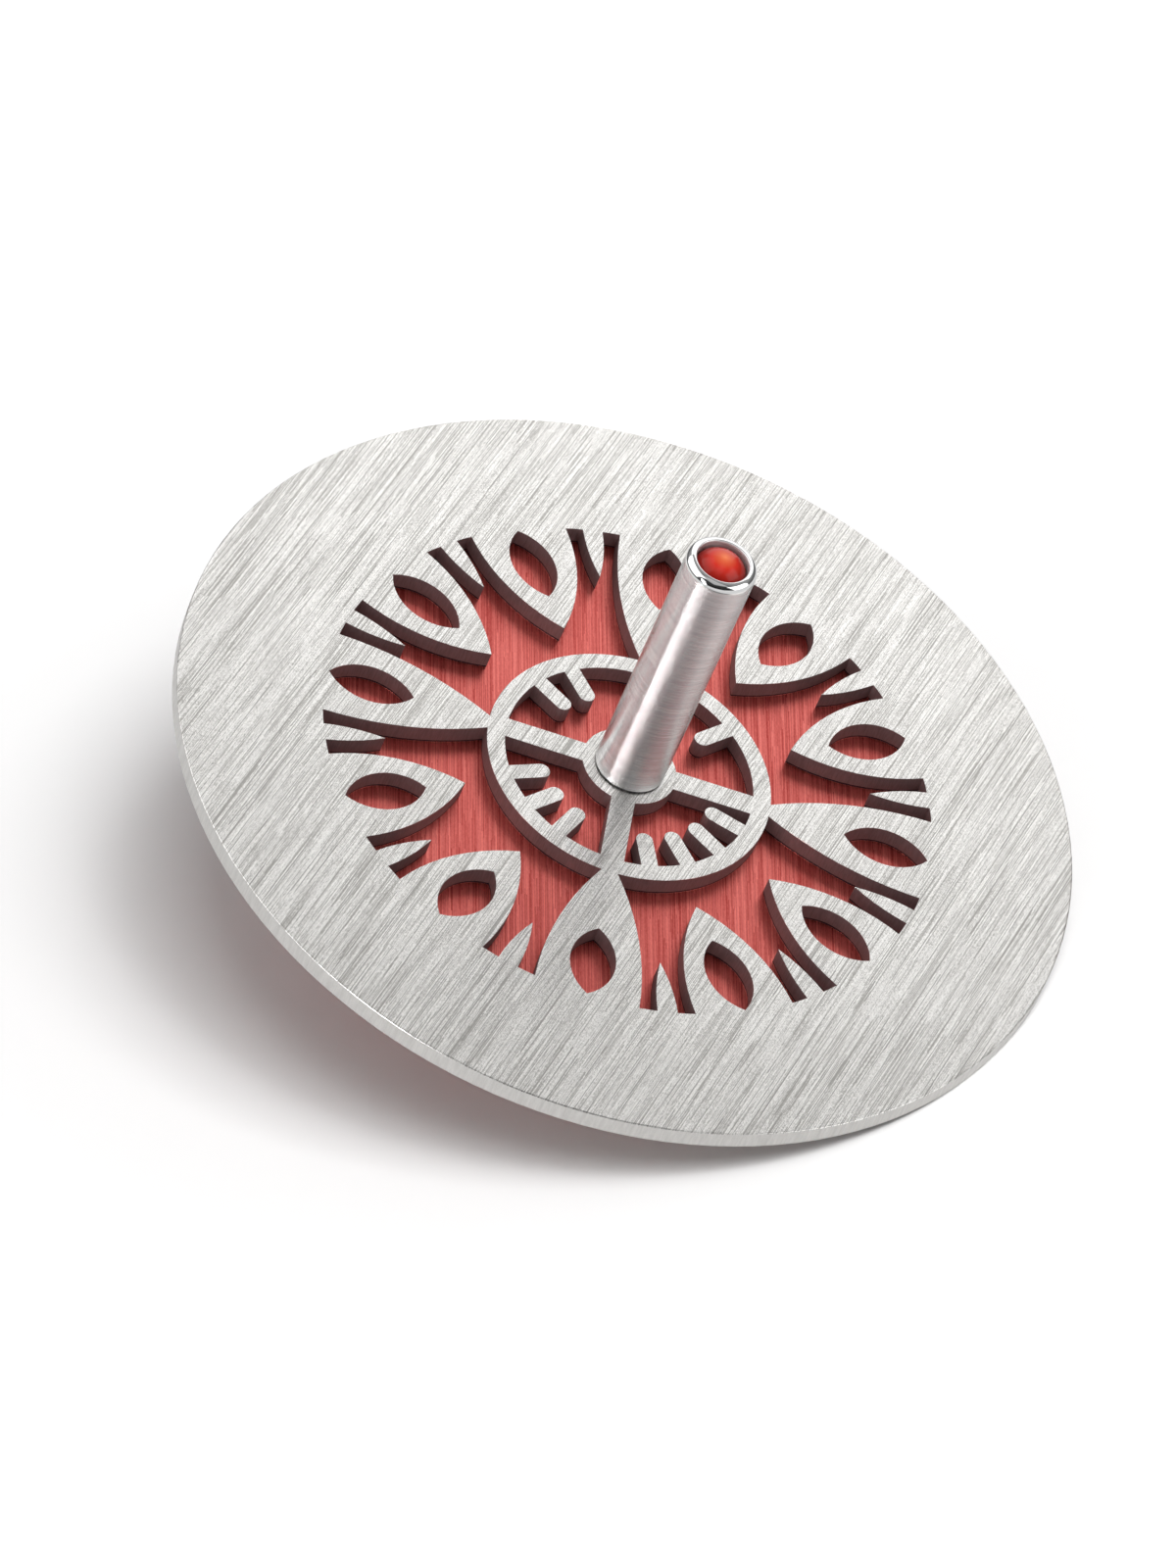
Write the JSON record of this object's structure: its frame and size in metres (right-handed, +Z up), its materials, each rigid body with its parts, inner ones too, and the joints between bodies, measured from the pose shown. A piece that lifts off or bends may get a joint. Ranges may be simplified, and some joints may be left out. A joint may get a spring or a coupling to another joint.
{
  "type": "dreidel",
  "caption": "Disc-shaped dreidel: a pierced brushed plate over a red disc, clamped between a turned stem with a red bead and a pointed foot, lying at rest on its point and rim.",
  "frame": {"origin": "where the point of the foot touches the table, with the top lying at rest", "axes": "+Z up from the table, the stem leans towards +X, where the rim touches the table, and +Y runs along the plate, level"},
  "size_m": [0.0751, 0.08, 0.0415],
  "materials": {
    "brushed_plate": "satin, brushed in one direction, with dark cut walls",
    "red_anodised": "brushed in one direction and dyed red",
    "turned_metal": "turned, with fine rings and a polished lip",
    "red_bead": "polished, deep translucent red",
    "stud_steel": "blackened"
  },
  "bodies": {
    "root": {"top_plate": "brushed_plate", "red_disc": "red_anodised", "stem": "turned_metal", "bead": "red_bead", "foot": "turned_metal", "stud": "stud_steel"}
  },
  "joints": []
}
